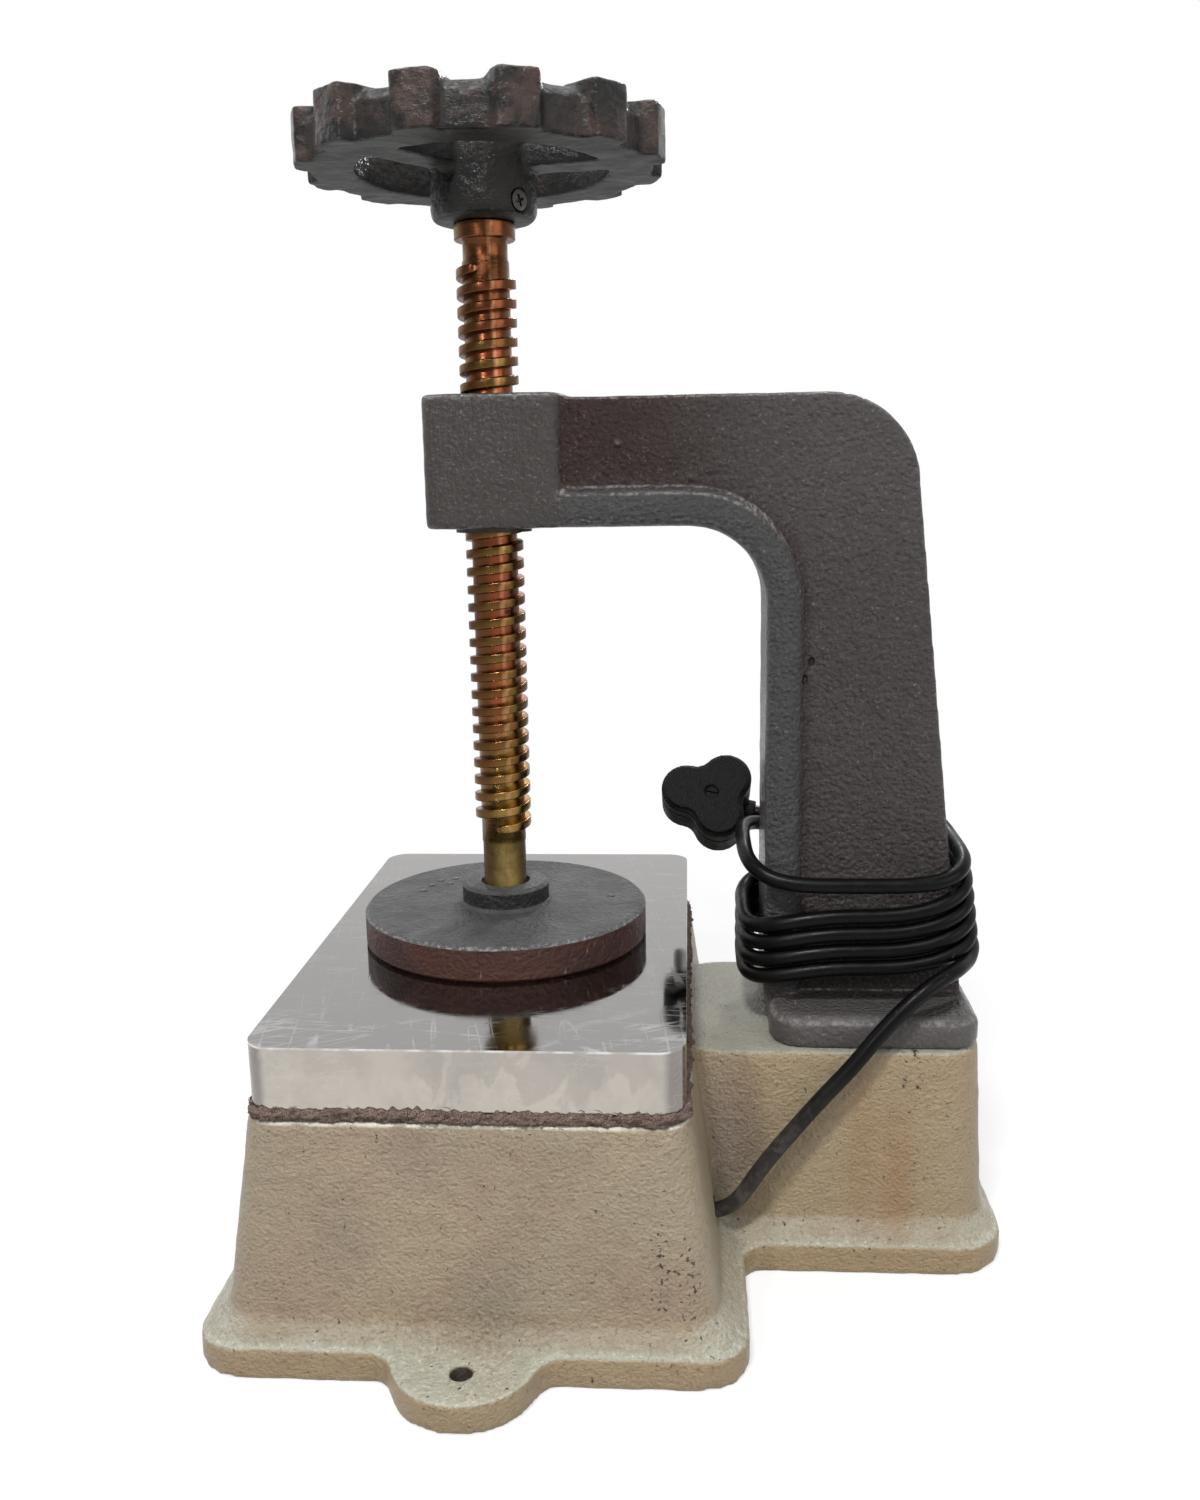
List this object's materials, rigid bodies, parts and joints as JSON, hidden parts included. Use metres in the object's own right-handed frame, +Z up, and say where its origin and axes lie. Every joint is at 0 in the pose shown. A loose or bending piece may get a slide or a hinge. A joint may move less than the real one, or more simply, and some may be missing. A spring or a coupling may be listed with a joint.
{
  "type": "tire vulcanizer",
  "caption": "Bench-top vulcanizing press for tube patches: a heated plate on a cast base, and a C-shaped arm whose handwheel screw presses a disc onto the plate; cord wound on the column.",
  "frame": {"origin": "on the bench, midway between the two bench holes and under the axis of the press screw", "axes": "+X towards the column of the arm, +Y away from the user, +Z up along the press screw"},
  "size_m": [0.338, 0.354, 0.4954],
  "materials": {
    "base_paint": "rough sand-cast enamel",
    "arm_paint": "hammered enamel",
    "wheel_enamel": "glossy enamel over a rough casting",
    "plate_metal": "ground, finely scratched",
    "disc_iron": "turned, with rust on the rim",
    "screw_zinc": "yellow-passivated zinc",
    "nut_iron": "machined",
    "bright_steel": "zinc plated",
    "black_steel": "blackened",
    "packing": "fibrous packing board",
    "mica": "mica",
    "fibre_board": "insulation board",
    "ceramic": "glazed",
    "brass": "bare",
    "sleeving": "woven sleeving",
    "earth_wire": "satin",
    "cord_rubber": "satin",
    "plug_plastic": "fine texture"
  },
  "bodies": {
    "frame": {"base_casting": "base_paint", "bottom_cover": "bright_steel", "bottom_cover_screws": "bright_steel", "packing_strip": "packing", "heating_plate": "plate_metal", "heating_element": "mica", "insulation_board": "fibre_board", "clamp_plate": "bright_steel", "clamp_studs": "bright_steel", "clamp_nuts": "bright_steel", "plate_bolts": "black_steel", "plate_bolt_washers": "bright_steel", "terminal_block": "ceramic", "terminal_screws": "brass", "terminal_block_screws": "bright_steel", "element_leads": "sleeving", "earth_lead": "earth_wire", "earth_screw": "brass", "cord_grommet": "cord_rubber", "cord_inside": "cord_rubber", "cord_clamp": "plug_plastic", "cord_clamp_screws": "bright_steel", "arm_casting": "arm_paint", "arm_bolts": "black_steel", "arm_bolt_washers": "bright_steel", "screw_nut": "nut_iron", "cord_lead": "cord_rubber", "cord_winding": "cord_rubber", "plug_body": "plug_plastic", "plug_cover": "plug_plastic", "plug_pins": "brass", "plug_cover_screw": "bright_steel"},
    "disc": {"pressure_disc": "disc_iron", "disc_retaining_screw": "black_steel"},
    "screw": {"press_screw": "screw_zinc", "handwheel": "wheel_enamel", "wheel_set_screw": "black_steel"}
  },
  "joints": [
    {"name": "disc_lift", "type": "slide", "parent": "frame", "child": "disc", "axis": [0, 0, 1], "range_m": [0, 0.1361]},
    {"name": "screw_turn", "type": "hinge", "parent": "disc", "child": "screw", "pos_m": [0, 0, 0.25], "axis": [0, 0, 1], "range_deg": [0, 6120]}
  ],
  "couplings": [
    {"joint": "disc_lift", "follows": "screw_turn", "m_per_rad": 0.0012732}
  ]
}
